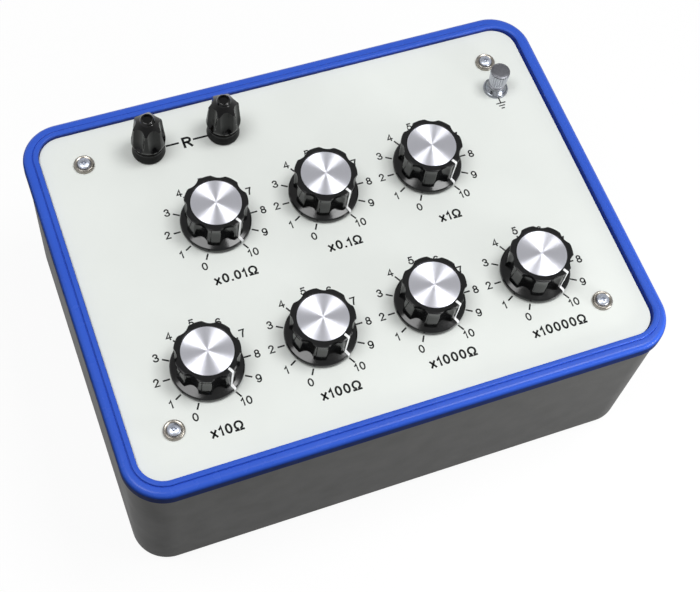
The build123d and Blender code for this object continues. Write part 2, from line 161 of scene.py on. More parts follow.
def piece(name, points, faces, finish, sharp=38):
    """A mesh object from millimetres, its flats kept flat, smooth over edges below an angle in degrees."""
    mesh = bpy.data.meshes.new(name)
    mesh.from_pydata([Vector(point) * MM for point in points], [], faces)
    mesh.shade_smooth()
    mesh.set_sharp_from_angle(angle=radians(sharp))
    mesh.materials.append(finish)
    made = bpy.data.objects.new(name, mesh)
    bpy.context.scene.collection.objects.link(made)
    flats = made.modifiers.new("Flat faces stay flat", "WEIGHTED_NORMAL")
    flats.keep_sharp = True
    return plain(made)


def plain(made):
    """Bakes an object's modifiers into one plain mesh."""
    bpy.context.view_layer.update()
    view = made.evaluated_get(bpy.context.evaluated_depsgraph_get())
    mesh = bpy.data.meshes.new_from_object(view)
    made.modifiers.clear()
    old = made.data
    made.data = mesh
    if isinstance(old, bpy.types.Mesh):
        bpy.data.meshes.remove(old)
    mesh.name = made.name
    return made


def together(name, parts):
    """Joins pieces into one mesh and drops the separate ones."""
    with bpy.context.temp_override(active_object=parts[0], object=parts[0], selected_objects=parts,
                                   selected_editable_objects=parts):
        bpy.ops.object.join()
    parts[0].name = name
    parts[0].data.name = name
    return parts[0]


def placed(source, name, place, turn=0.0):
    """A copy of a piece with its place in its mesh."""
    mesh = source.data.copy()
    mesh.transform(Matrix.Translation((place[0] * MM, place[1] * MM, 0)) @ Matrix.Rotation(turn, 4, "Z"))
    mesh.name = name
    made = bpy.data.objects.new(name, mesh)
    bpy.context.scene.collection.objects.link(made)
    return made


def drop(*spares):
    for spare in spares:
        bpy.data.objects.remove(spare)


def smooth_min(a, b, width):
    """The lower of two radii, with the corner between them rounded."""
    blend = max(width - abs(a - b), 0.0) / width
    return min(a, b) - blend * blend * width / 4


def scoop(angle, count, first, radius, axis_r):
    """Radius of a round flute's wall seen from the middle, for the flute nearest to an angle."""
    step = 2 * pi / count
    off = (angle - first + step / 2) % step - step / 2
    inside = radius ** 2 - (axis_r * sin(off)) ** 2
    if inside <= 0:
        # Past the flute's edge nothing is cut
        return 1e3
    return axis_r * cos(off) - sqrt(inside)


# Nodes and finishes

def add(tree, kind, inputs=None, **settings):
    """Adds a node with its settings; inputs are values or the sockets that feed them."""
    made = tree.nodes.new(kind)
    for key, value in settings.items():
        setattr(made, key, value)
    for key, value in (inputs or {}).items():
        if isinstance(value, bpy.types.NodeSocket):
            tree.links.new(value, made.inputs[key])
        else:
            made.inputs[key].default_value = value
    return made


def srgb(code):
    """Linear colour from an sRGB hex value."""
    parts = [int(code[i:i + 2], 16) / 255 for i in (1, 3, 5)]
    linear = [v / 12.92 if v <= 0.04045 else ((v + 0.055) / 1.055) ** 2.4 for v in parts]
    return (*linear, 1.0)


def grain(size):
    """Noise scale for a grain of a size in millimetres, on Object coordinates in metres."""
    return 1 / (size * MM)


def finish(name, low, high, spread, rough, bump=(), **constants):
    """A procedural finish: two close colours in patches of a size, a roughness range, and bumps.

    spread is the patches' size in mm, rough the lowest and highest roughness and the size of
    its patches, and each bump is (size in mm, depth in mm). constants go on the shader."""
    made = bpy.data.materials.new(name)
    made.use_nodes = True
    tree = made.node_tree
    shader = tree.nodes["Principled BSDF"]
    for key, value in constants.items():
        shader.inputs[key.replace("_", " ")].default_value = value
    where = add(tree, "ShaderNodeTexCoord").outputs["Object"]
    patches = add(tree, "ShaderNodeTexNoise", {"Vector": where, "Scale": grain(spread), "Detail": 4.0})
    tint = add(tree, "ShaderNodeValToRGB", {"Fac": patches.outputs["Fac"]})
    tint.color_ramp.elements[0].position = 0.3
    tint.color_ramp.elements[0].color = srgb(low)
    tint.color_ramp.elements[1].position = 0.7
    tint.color_ramp.elements[1].color = srgb(high)
    tree.links.new(tint.outputs["Color"], shader.inputs["Base Color"])
    wear = add(tree, "ShaderNodeTexNoise", {"Vector": where, "Scale": grain(rough[2]), "Detail": 5.0})
    gloss = add(tree, "ShaderNodeMapRange", {"Value": wear.outputs["Fac"], "From Min": 0.3, "From Max": 0.7,
                                             "To Min": rough[0], "To Max": rough[1]})
    tree.links.new(gloss.outputs["Result"], shader.inputs["Roughness"])
    normal = None
    for size, depth in bump:
        hills = add(tree, "ShaderNodeTexNoise", {"Vector": where, "Scale": grain(size), "Detail": 3.0})
        lift = add(tree, "ShaderNodeBump", {"Height": hills.outputs["Fac"], "Strength": 1.0,
                                            "Distance": depth * MM})
        if normal:
            tree.links.new(normal, lift.inputs["Normal"])
        normal = lift.outputs["Normal"]
    if normal:
        tree.links.new(normal, shader.inputs["Normal"])
    return made


def deepened(made, low, high, share):
    """Painted shade: fades a finish downwards between two heights in mm, to a share of its colour at the low
    one.

    A share above 1 makes the lower part paler instead, as a painted sheen."""
    tree = made.node_tree
    shader = tree.nodes["Principled BSDF"]
    colour = shader.inputs["Base Color"].links[0].from_socket
    where = add(tree, "ShaderNodeTexCoord").outputs["Object"]
    height = add(tree, "ShaderNodeSeparateXYZ", {"Vector": where}).outputs["Z"]
    shade = add(tree, "ShaderNodeMapRange", {"Value": height, "From Min": low * MM, "From Max": high * MM,
                                             "To Min": share, "To Max": 1.0}, interpolation_type="SMOOTHSTEP")
    mixed = add(tree, "ShaderNodeVectorMath", {0: colour, "Scale": shade.outputs["Result"]},
                operation="SCALE")
    tree.links.new(mixed.outputs["Vector"], shader.inputs["Base Color"])


# Dark grey moulded ABS: satin, with the fine spark-eroded grain of the tool
CASE_ABS = finish("Dark grey moulded ABS, satin grain", "#3C3C3B", "#40403F", 25, (0.46, 0.52, 12),
                  bump=[(0.55, 0.01), (6.0, 0.008)], IOR=1.5, Specular_IOR_Level=0.12)
# Painted shade: a little darker towards the table
deepened(CASE_ABS, 0.0, PANEL - 10.0, 0.8)
# Blue ABS from a polished tool: soft gloss with a very slight sink in the surface
BEZEL_BLUES = ("#3058C6", "#345DCB")
BEZEL_ABS = finish("Blue moulded ABS, polished", *BEZEL_BLUES, 40, (0.24, 0.3, 9),
                   bump=[(1.2, 0.002)], IOR=1.5, Specular_IOR_Level=0.22)
# The same blue, dull, low on the roll and on the side
BEZEL_SIDE = finish("Blue moulded ABS, dull side", *BEZEL_BLUES, 40, (0.5, 0.6, 9),
                    bump=[(1.2, 0.002)], IOR=1.5, Specular_IOR_Level=0.02)
# Painted shade: both fall to navy down the roll, towards the tub
for blue in (BEZEL_ABS, BEZEL_SIDE):
    deepened(blue, PANEL - 1.6, PANEL + 1.2, 0.13)
# The same blue on the lip's inner wall, duller, and painted deeper navy as painted shade
BEZEL_WALL_PAINTED_SHADE = finish("Blue moulded ABS, draft face", "#16308C", "#193594", 20, (0.5, 0.6, 6),
                    bump=[(0.8, 0.003)], IOR=1.5, Specular_IOR_Level=0.2)
# Panel: sheet aluminium with stoved off-white enamel, slightly orange-peeled
PANEL_ENAMEL = finish("Off-white stoved enamel", "#E2E6E2", "#E8ECE8", 60, (0.34, 0.42, 8),
                      bump=[(0.9, 0.006)], IOR=1.5)
# Black screen-printing ink, a little matt and uneven against the enamel
INK = finish("Black screen-printing ink", "#060708", "#0B0C0D", 0.7, (0.5, 0.62, 0.6), bump=[(0.25, 0.003)],
             Specular_IOR_Level=0.25)
# Black phenolic, compression moulded and tumbled: deep gloss with faint handling haze
KNOB_BLACK = finish("Black moulded phenolic, polished", "#070708", "#0C0D0E", 6, (0.1, 0.16, 3.0),
                    bump=[(2.2, 0.002), (0.3, 0.0003)], IOR=1.5, Specular_IOR_Level=0.42)
# White paint wiped into the pointer line
POINTER_PAINT = finish("White pointer paint", "#E6E8E8", "#F2F3F3", 1.0, (0.4, 0.5, 0.8), bump=[(0.4, 0.006)])
# Black polyamide of the clamp caps: softer sheen than the knobs, faint flow marks
CAP_BLACK = finish("Black moulded polyamide, satin", "#070708", "#0B0B0C", 3, (0.12, 0.2, 2.0),
                   bump=[(0.5, 0.001)], IOR=1.53, Specular_IOR_Level=0.24)
# The same polyamide as turned from bar for the bases: duller
BASE_BLACK = finish("Black turned polyamide, dull", "#070708", "#0B0B0C", 3, (0.3, 0.4, 2.0),
                    bump=[(0.5, 0.002)], IOR=1.53, Specular_IOR_Level=0.16)
# Nickel-plated steel of the cups and nuts: warm grey, with fine drawn haze
NICKEL = finish("Nickel-plated steel", "#8F8A82", "#A39E96", 1.2, (0.22, 0.3, 0.9), bump=[(0.5, 0.0003)],
                Metallic=1.0)
# Bright zinc on the screw heads, bluer than the nickel of the cups
SCREW_ZINC = finish("Bright zinc-plated steel", "#AEB4C0", "#BFC4CE", 1.0, (0.3, 0.4, 0.8),
                    bump=[(0.4, 0.0004)], Metallic=1.0)
# Satin silver: aluminium turned and anodised clear
SATIN_SILVER = finish("Clear anodised turned aluminium", "#8D8E93", "#9A9BA0", 2.0, (0.34, 0.44, 1.0),
                      bump=[(0.3, 0.003)], Metallic=1.0)
# The same on the thumb nut, its turned top painted darker and the knurl below painted paler, as painted sheen
NUT_SILVER = finish("Clear anodised aluminium, cut knurl", "#717277", "#7D7E83", 1.2, (0.3, 0.4, 0.8),
                    bump=[(0.3, 0.003)], Metallic=1.0)
deepened(NUT_SILVER, PANEL + 13.2, PANEL + 13.7, 3.0)
# Zinc plate with a blue passivation on the flange under the earth post
FLANGE_GREY = finish("Zinc-plated steel, blue passivated", "#84888F", "#A0A4AA", 1.2, (0.2, 0.28, 1.5),
                     bump=[(0.4, 0.002)], Metallic=1.0)
# Turned brass of the studs, clamp washers and wipers, slightly dulled
BRASS = finish("Turned brass", "#B08D4A", "#C7A45C", 1.5, (0.22, 0.36, 0.8), bump=[(0.3, 0.003)],
               Metallic=1.0)
# Zinc-plated steel of the switch frames, with a pale spangle
ZINC_STEEL = finish("Zinc-plated sheet steel", "#A9ADB1", "#BFC2C4", 3.0, (0.3, 0.45, 2.0),
                    bump=[(0.6, 0.004)], Metallic=1.0)
# Phenolic paper laminate of the wafers
LAMINATE = finish("Phenolic paper laminate", "#8A5A2E", "#9C6A3A", 1.6, (0.45, 0.6, 1.0), bump=[(0.3, 0.01)])
# Glass-epoxy resistor cards
CARD_GREEN = finish("Glass-epoxy board, green lacquer", "#2E5B3A", "#386A45", 2.0, (0.3, 0.42, 1.0),
                    bump=[(0.5, 0.005)])
# Tinned copper wire and lugs
TINNED = finish("Tinned copper", "#B4B2AE", "#C8C6C1", 1.0, (0.25, 0.38, 0.8), bump=[(0.3, 0.003)],
                Metallic=1.0)
# Black rubber feet: matt and slightly dusty
RUBBER = finish("Black moulded rubber, matt", "#1B1B1B", "#242424", 3.0, (0.7, 0.85, 2.0), bump=[(0.4, 0.01)])


def turned_aluminium():
    """Spun disc face: fine circular grooves that fan a lamp out into wedges.

    The disc's UV map is polar, U the radius in mm and V the turn, so its tangent is radial and
    the gloss stretches across the grooves."""
    made = bpy.data.materials.new("Turned aluminium, fine circular grain")
    made.use_nodes = True
    tree = made.node_tree
    shader = tree.nodes["Principled BSDF"]
    shader.inputs["Metallic"].default_value = 1.0
    shader.inputs["Anisotropic"].default_value = 1.0
    polar = add(tree, "ShaderNodeUVMap", uv_map="Polar").outputs["UV"]
    parts = add(tree, "ShaderNodeSeparateXYZ", {"Vector": polar})
    # Grooves about 0.12 mm apart, broken along the turn so that they aren't perfect circles
    along = add(tree, "ShaderNodeMath", {0: parts.outputs["Y"], 1: 6.0}, operation="MULTIPLY")
    line = add(tree, "ShaderNodeCombineXYZ", {"X": parts.outputs["X"], "Y": along.outputs["Value"]})
    grooves = add(tree, "ShaderNodeTexNoise", {"Vector": line.outputs["Vector"], "Scale": 8.0, "Detail": 3.0})
    tint = add(tree, "ShaderNodeValToRGB", {"Fac": grooves.outputs["Fac"]})
    tint.color_ramp.elements[0].position = 0.3
    tint.color_ramp.elements[0].color = srgb("#DEDFE8")
    tint.color_ramp.elements[1].position = 0.7
    tint.color_ramp.elements[1].color = srgb("#EEEFF6")
    tree.links.new(tint.outputs["Color"], shader.inputs["Base Color"])
    gloss = add(tree, "ShaderNodeMapRange", {"Value": grooves.outputs["Fac"], "From Min": 0.3,
                                             "From Max": 0.7, "To Min": 0.37, "To Max": 0.42})
    tree.links.new(gloss.outputs["Result"], shader.inputs["Roughness"])
    lift = add(tree, "ShaderNodeBump", {"Height": grooves.outputs["Fac"], "Strength": 1.0,
                                        "Distance": 0.002 * MM})
    tree.links.new(lift.outputs["Normal"], shader.inputs["Normal"])
    radial = add(tree, "ShaderNodeTangent", direction_type="UV_MAP", uv_map="Polar")
    tree.links.new(radial.outputs["Tangent"], shader.inputs["Tangent"])
    return made


SPUN_ALUMINIUM = turned_aluminium()


# Geometry Nodes for what repeats

def grow(name, source, sockets, build, finish_used):
    """Runs a node tree on a mesh and bakes the result to one plain mesh."""
    tree = bpy.data.node_groups.new(name, "GeometryNodeTree")
    tree.interface.new_socket("Geometry", in_out="INPUT", socket_type="NodeSocketGeometry")
    values = {}
    for key, (kind, value) in sockets.items():
        socket = tree.interface.new_socket(key, in_out="INPUT", socket_type=kind)
        values[socket.identifier] = value
    tree.interface.new_socket("Geometry", in_out="OUTPUT", socket_type="NodeSocketGeometry")
    entry = add(tree, "NodeGroupInput")
    grown = build(tree, entry.outputs)
    real = add(tree, "GeometryNodeRealizeInstances", {"Geometry": grown})
    dressed = add(tree, "GeometryNodeSetMaterial",
                  {"Geometry": real.outputs["Geometry"], "Material": finish_used})
    add(tree, "NodeGroupOutput", {"Geometry": dressed.outputs["Geometry"]})
    source.name = name
    modifier = source.modifiers.new(name, "NODES")
    modifier.node_group = tree
    for identifier, value in values.items():
        modifier[identifier] = value
    made = plain(source)
    made.data.materials.clear()
    made.data.materials.append(finish_used)
    return made


def spots(name, places, height):
    """A mesh of loose points for a node tree to work on."""
    mesh = bpy.data.meshes.new(name)
    mesh.from_pydata([Vector((x, y, height)) * MM for x, y in places], [], [])
    made = bpy.data.objects.new(name, mesh)
    bpy.context.scene.collection.objects.link(made)
    return made


def copies(tree, entry):
    """One piece on each point, each turned by its own fixed random angle."""
    turn = add(tree, "FunctionNodeRandomValue", {"Max": entry["Most turn"], "Seed": entry["Seed"]},
               data_type="FLOAT")
    way = add(tree, "ShaderNodeCombineXYZ", {"Z": turn.outputs["Value"]})
    one = add(tree, "GeometryNodeObjectInfo", {"Object": entry["Piece"], "As Instance": True})
    many = add(tree, "GeometryNodeInstanceOnPoints",
               {"Points": entry["Geometry"], "Instance": one.outputs["Geometry"],
                "Rotation": way.outputs["Vector"]})
    return many.outputs["Instances"]


def copy_to(name, one, places, finish_used, most_turn=0.0, seed=3):
    """Copies a piece made at the origin to places on the object."""
    made = grow(name, spots(name, places, 0), {
        "Piece": ("NodeSocketObject", one),
        "Most turn": ("NodeSocketFloat", most_turn),
        "Seed": ("NodeSocketInt", seed),
    }, copies, finish_used)
    drop(one)
    return made


def dial_marks(tree, entry):
    """A mark at each position of each dial."""
    index = add(tree, "GeometryNodeInputIndex").outputs["Index"]
    steps = add(tree, "ShaderNodeMath", {0: index, 1: entry["Step"]}, operation="MULTIPLY")
    angle = add(tree, "ShaderNodeMath", {0: entry["First"], 1: steps.outputs["Value"]}, operation="SUBTRACT")
    span = add(tree, "ShaderNodeMath", {0: entry["Outer radius"], 1: entry["Inner radius"]},
               operation="SUBTRACT")
    both = add(tree, "ShaderNodeMath", {0: entry["Outer radius"], 1: entry["Inner radius"]},
               operation="ADD")
    reach = add(tree, "ShaderNodeMath", {0: both.outputs["Value"], 1: 0.5}, operation="MULTIPLY")
    x = add(tree, "ShaderNodeMath", {0: angle.outputs["Value"]}, operation="COSINE")
    y = add(tree, "ShaderNodeMath", {0: angle.outputs["Value"]}, operation="SINE")
    way = add(tree, "ShaderNodeCombineXYZ", {"X": x.outputs["Value"], "Y": y.outputs["Value"]})
    place = add(tree, "ShaderNodeVectorMath", {0: way.outputs["Vector"], "Scale": reach.outputs["Value"]},
                operation="SCALE")
    seats = add(tree, "GeometryNodePoints", {"Count": entry["Count"], "Position": place.outputs["Vector"]})
    size = add(tree, "ShaderNodeCombineXYZ", {"X": span.outputs["Value"], "Y": entry["Width"],
                                              "Z": entry["Thickness"]})
    mark = add(tree, "GeometryNodeMeshCube", {"Size": size.outputs["Vector"]})
    turn = add(tree, "ShaderNodeCombineXYZ", {"Z": angle.outputs["Value"]})
    one_dial = add(tree, "GeometryNodeInstanceOnPoints",
                   {"Points": seats.outputs["Points"], "Instance": mark.outputs["Mesh"],
                    "Rotation": turn.outputs["Vector"]})
    dials = add(tree, "GeometryNodeInstanceOnPoints",
                {"Points": entry["Geometry"], "Instance": one_dial.outputs["Instances"]})
    return dials.outputs["Instances"]


def ridges(tree, entry):
    """Straight knurl: narrow ridges round a turned body."""
    ring = add(tree, "GeometryNodeMeshCircle", {"Vertices": entry["Count"], "Radius": entry["Radius"]})
    index = add(tree, "GeometryNodeInputIndex").outputs["Index"]
    step = add(tree, "ShaderNodeMath", {0: 2 * pi, 1: entry["Count"]}, operation="DIVIDE")
    angle = add(tree, "ShaderNodeMath", {0: index, 1: step.outputs["Value"]}, operation="MULTIPLY")
    turn = add(tree, "ShaderNodeCombineXYZ", {"Z": angle.outputs["Value"]})
    ridge = add(tree, "GeometryNodeMeshCylinder",
                {"Vertices": 4, "Radius": entry["Ridge"], "Depth": entry["Height"]})
    set_up = add(tree, "GeometryNodeTransform",
                 {"Geometry": ridge.outputs["Mesh"], "Translation": entry["Middle"],
                  "Rotation": entry["Lean"]})
    many = add(tree, "GeometryNodeInstanceOnPoints",
               {"Points": ring.outputs["Mesh"], "Instance": set_up.outputs["Geometry"],
                "Rotation": turn.outputs["Vector"]})
    joined = add(tree, "GeometryNodeJoinGeometry")
    tree.links.new(entry["Geometry"], joined.inputs["Geometry"])
    tree.links.new(many.outputs["Instances"], joined.inputs["Geometry"])
    return joined.outputs["Geometry"]


# Case and bezel

def tub():
    """Drafted tub with a rounded bottom edge, its inner walls, and the four screw bosses."""
    top_out, low_out, bead_out = 6.2, 4.8, 6.55
    under, floor_top, wall = 2.0, 5.0, 3.0
    # The profile's two ends only steer its corners: the skin closes in poles in the middle
    profile = soften([
        (-60.0, under), (low_out, under, 2.2), (top_out, RIM - 0.9), (bead_out, RIM - 0.75, 0.1),
        (bead_out, RIM, 0.25), (top_out - wall, RIM, 0.3), (low_out - wall + 0.1, floor_top, 3.0),
        (-60.0, floor_top),
    ])
    rings = [frame_line(out, z) for out, z in profile[1:-1]]
    rings.insert(0, [(0.0, 0.0, under)])
    rings.append([(0.0, 0.0, floor_top)])
    shell = skin("tub_shell", rings, CASE_ABS)
    boss = turned("boss", [(0, 3.5), (5.0, 3.5), (5.0, 86.5, 0.3), (1.5, 86.5), (1.5, 72.5), (0, 72.5)],
                  CASE_ABS, samples=40, base=0.0, steps=5)
    parts = [shell] + [placed(boss, "boss_copy", place) for place in SCREWS]
    drop(boss)
    made = together("moulded_tub", parts)
    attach(made, "case")
    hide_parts("case_tub")


def bezel():
    """Blue frame: ledge, spigot, rolled outer edge, flat band, fine groove, and the lip round the panel."""
    z = PANEL
    band_top, lip_height, edge_out = z + 1.4, 2.2, 7.2
    profile = soften([
        (-3.5, z - 4.8, 0.3), (0.4, z - 4.8), (0.4, z - 8.0, 0.3), (3.0, z - 8.0, 0.3), (3.0, z - 5.8),
        (edge_out, z - 5.8, 0.5), (edge_out, band_top, 2.6), (2.95, band_top, 0.15), (2.85, z + 0.95),
        (2.45, z + 0.95), (2.35, z + lip_height, 0.5), (0.0, z + lip_height, 0.7), (0.0, z - 2.0),
        (-3.5, z - 2.0, 0.3),
    ], closed=True, steps=6)
    # The lip leans out on the right, by this much at its top
    lean = 1.5
    rings = []
    for out, height in profile:
        on_lip = out < 2.3 and height > z
        rings.append(frame_line(out, height, 20, right=lean * (height - z) / lip_height if on_lip else 0.0))
    made = skin("blue_bezel", rings, BEZEL_ABS, closed=True)
    made.data.materials.append(BEZEL_WALL_PAINTED_SHADE)
    made.data.materials.append(BEZEL_SIDE)
    # Painted shade: the lip's inner wall takes the deeper navy finish, and the side below the roll the dull
    # blue that is painted darker towards the tub
    inner = [k for k, (out, height) in enumerate(profile) if abs(out) < 0.01 and height > z]
    side = [k for k, (out, height) in enumerate(profile) if out > 5.0 and height < z + 0.7]
    samples = len(rings[0])
    for index, bands in ((1, inner[-1:]), (2, side[:-1])):
        for band in bands:
            for face in made.data.polygons[band * samples:(band + 1) * samples]:
                face.material_index = index
    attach(made, "case")
    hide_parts("bezel_frame")


def feet():
    """Four moulded feet with a hollow for the screw head."""
    foot = turned("foot", [(0, 1.0), (3.4, 1.0, 0.3), (3.8, 0.0, 0.4), (7.6, 0.0, 0.7), (8.0, 2.0), (0, 2.0)],
                  RUBBER, samples=56, base=0.0, steps=5)
    made = copy_to("rubber_feet_moulded", foot, FEET, RUBBER)
    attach(made, "case")
    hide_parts("rubber_feet")


tub()
bezel()
feet()


# Knobs

def skirt_top(r):
    """Height of the skirt's shallow cone above the panel."""
    return PANEL + 4.35 - SKIRT_SLOPE * (r - 11.3)


def grip(body_r, height):
    """Radius round the fluted body at a height; one lobe lies under the pointer.

    The flutes are shallow scallops at the top ring and plunge deeper and narrower to the foot."""
    floor_r = float(np.interp(height, (4.0, 9.0, 14.5, 16.4, KNOB_TOP), (11.5, 11.75, 12.15, 12.5, 12.85)))
    flute_r = float(np.interp(height, (9.0, KNOB_TOP), (3.9, 5.6)))
    flutes, first = 7, radians(POINTER + 180.0)
    return lambda a: smooth_min(body_r, scoop(a, flutes, first, flute_r, floor_r + flute_r), 0.35)


def knob():
    """Skirt, fluted body and recessed top ring, hollow underneath over the nut."""
    samples = 280
    # Underneath: the shaft's socket and the room for the nut
    rings = [circle(r, PANEL + z, samples) for r, z in (
        (0, 14.4), (3.0, 14.4), (3.0, 4.0), (9.3, 4.0), (9.3, 1.1), (9.5, 0.9))]
    skirt = soften([(9.5, 0.9), (SKIRT_R, 0.9, 0.25), (SKIRT_R, 2.5, 0.35),
                    (15.5, skirt_top(15.5) - PANEL, 0.2), (14.3, skirt_top(14.3) - PANEL)], steps=3)
    rings += [circle(r, PANEL + z, samples) for r, z in skirt[1:-1]]
    rings.append(circle(grip(13.85, 4.2), skirt_top, samples))
    rings += [circle(grip(13.8, z), PANEL + z, samples) for z in (5.0, 7.0, 9.5, 12.0, 14.0)]
    # Over the top edge the outline stays as it is just below
    for r, z in soften([(13.95, 14.8), (14.3, KNOB_TOP, 0.45), (12.0, KNOB_TOP)], steps=5)[:-1]:
        rings.append(circle(grip(r, min(z, 17.2)), PANEL + z, samples))
    rings.append(circle(grip(13.4, KNOB_TOP), PANEL + KNOB_TOP, samples))
    recess = soften([(13.2, KNOB_TOP), (11.75, KNOB_TOP, 0.12), (11.5, 17.05, 0.12), (0.0, 17.05)], steps=3)
    rings += [circle(r, PANEL + z, samples) for r, z in recess[1:]]
    return skin("knob", rings, KNOB_BLACK)


def pointer():
    """White line from the disc's rim over the top ring, down the lobe and over the skirt."""
    line = soften([(11.85, KNOB_TOP), (14.3, KNOB_TOP, 0.5), (13.8, skirt_top(13.8) - PANEL, 0.15),
                   (15.5, skirt_top(15.5) - PANEL, 0.2), (SKIRT_R, 2.5, 0.3), (SKIRT_R, 1.3)], steps=4)
    half, proud, sunk = 0.6, 0.06, 0.1
    rings = []
    for i, (r, z) in enumerate(line):
        before = Vector(line[max(i - 1, 0)])
        after = Vector(line[min(i + 1, len(line) - 1)])
        along = (after - before).normalized()
        out = Vector((-along.y, along.x))
        high = Vector((r, z)) + out * proud
        low = Vector((r, z)) - out * sunk
        rings.append([(p.x, side * half, PANEL + p.y)
                      for p, side in ((low, -1), (high, -1), (high, 1), (low, 1))])
    # Both ends close in a point just under the knob's surface
    rings.insert(0, [(rings[0][0][0], 0.0, PANEL + 17.33)])
    rings.append([(15.97, 0.0, rings[-1][0][2])])
    made = skin("pointer", rings, POINTER_PAINT)
    made.data.transform(Matrix.Rotation(radians(POINTER), 4, "Z"))
    return made


def disc():
    """Turned inlay with a chamfered rim, a slight crown and a polar UV map for its grain."""
    samples, crown, face_r = 120, 0.12, 10.8
    profile = [(0, 17.06), (11.25, 17.06), (11.25, 17.3), (11.05, 17.45)]
    profile += [(r, 17.6 - crown * (r / face_r) ** 2) for r in (face_r, 9.0, 6.5, 4.0, 2.0, 0.8, 0.0)]
    made = skin("disc", [circle(r, PANEL + z, samples) for r, z in profile], SPUN_ALUMINIUM)
    polar_map(made.data)
    return made


def polar_map(mesh):
    """UV map with U the distance from the middle in mm and V the turn."""
    layer = mesh.uv_layers.new(name="Polar")
    for face in mesh.polygons:
        centre = face.center
        face_turn = np.arctan2(centre.y, centre.x)
        for loop in face.loop_indices:
            co = mesh.vertices[mesh.loops[loop].vertex_index].co
            r = sqrt(co.x ** 2 + co.y ** 2)
            turn = np.arctan2(co.y, co.x) if r > 1e-6 else face_turn
            turn += 2 * pi * round((face_turn - turn) / (2 * pi))
            layer.data[loop].uv = (r / MM, turn)


knob_pattern = knob()
pointer_pattern = pointer()
disc_pattern = disc()
for number, place in enumerate(DIALS, start=1):
    body = placed(knob_pattern, f"fluted_knob_{number}", place)
    mark = placed(pointer_pattern, f"pointer_line_{number}", place)
    face = placed(disc_pattern, f"aluminium_disc_{number}", place)
    for part in (body, mark, face):
        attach(part, f"dial_{number}")
    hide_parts(f"knob_{number}")
    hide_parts(f"knob_disc_{number}")
drop(knob_pattern, pointer_pattern, disc_pattern)


# Resistance terminals

def cap(turn):
    """Clamp cap: chamfered rim, wide scooped flutes, and a cone that cuts them off in a star."""
    low = PANEL + CAP_LOW
    samples = 180
    flutes, first, flute_r = 6, radians(turn) + pi / 6, 4.4
    grip_low, shoulder, shoulder_r, neck_r, bore_r = 5.5, 13.4, 6.95, 3.4, 3.05

    def cone(r):
        """Height of the roof, which falls at 45 degrees."""
        return low + shoulder + (shoulder_r - r)

    def star(r, floor_r):
        """Outline with its flutes as deep as a floor radius."""
        return lambda a: smooth_min(r, scoop(a, flutes, first, flute_r, floor_r + flute_r), 0.3)

    # Bore and underside, then the rim
    rings = [circle(r, low + z, samples) for r, z in ((0, 17.5), (bore_r, 17.5), (bore_r, 0.0), (7.1, 0.0))]
    rim = soften([(7.2, 0.0), (7.4, 0.0, 0.1), (7.6, 0.8)], steps=3)
    rings += [circle(r, low + z, samples) for r, z in rim[1:]]
    # The flutes' feet
    for z, r, floor_r in ((1.4, 7.85, 7.75), (2.0, 7.95, 7.3), (2.8, 7.95, 6.8), (4.0, 7.8, 6.3),
                          (grip_low, 7.65, 6.0)):
        rings.append(circle(star(r, floor_r), low + z, samples))
    # The grip, from a level ring up to where the cone cuts it
    levels = 8
    for level in range(1, levels + 1):
        share = level / levels
        wall = star(7.65 - 0.7 * share, 6.0 - 0.9 * share)
        rings.append(circle(wall, lambda r: (low + grip_low) * (1 - share) + cone(r) * share, samples))
    # The cone, from the star to a round neck
    for share in (0.1, 0.35, 0.65, 0.9, 1.0):
        rings.append(circle(lambda a: wall(a) * (1 - share) + neck_r * share, cone, samples))
    rings += [circle(r, low + z, samples) for r, z in (
        (3.2, 17.4), (3.0, 18.1), (2.75, 18.4), (2.5, 18.5), (2.2, 18.3), (2.2, 17.6), (0, 17.6))]
    return skin("cap", rings, CAP_BLACK, sharp=26)


def terminal_bases():
    """Insulating bases: rounded flared foot, waist, two fine ring grooves and a rolled top rim."""
    base = turned("base", [
        (3.0, -2.0), (4.5, -2.0), (4.5, 0.0), (7.4, 0.0, 0.3), (7.7, 1.0, 0.8), (7.3, 2.6, 2.0),
        (6.75, 4.3, 1.0), (6.8, 5.0, 0.1), (6.6, 5.1, 0.05), (6.6, 5.3, 0.05), (7.0, 5.4, 0.15),
        (7.2, 6.1, 0.3), (6.9, 6.5, 0.2), (3.0, 6.5)], BASE_BLACK, samples=96, closed=True)
    made = copy_to("terminal_bases_turned", base, TERMINALS, BASE_BLACK)
    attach(made, "case")
    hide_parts("terminal_bases")


terminal_bases()
for number, place in enumerate(TERMINALS, start=1):
    pattern = cap(CAP_TURNS[number - 1])
    made = placed(pattern, f"scooped_cap_{number}", place)
    drop(pattern)
    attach(made, f"cap_{number}")
    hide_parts(f"terminal_cap_{number}")
    pattern = turned("washer", [(3.05, 6.55), (6.6, 6.55, 0.2), (6.6, 7.55, 0.2), (3.05, 7.55)], BRASS,
                     samples=96, closed=True)
    made = placed(pattern, f"brass_washer_{number}", place)
    drop(pattern)
    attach(made, f"clamp_{number}")
    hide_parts(f"clamp_washer_{number}")


# Earth post

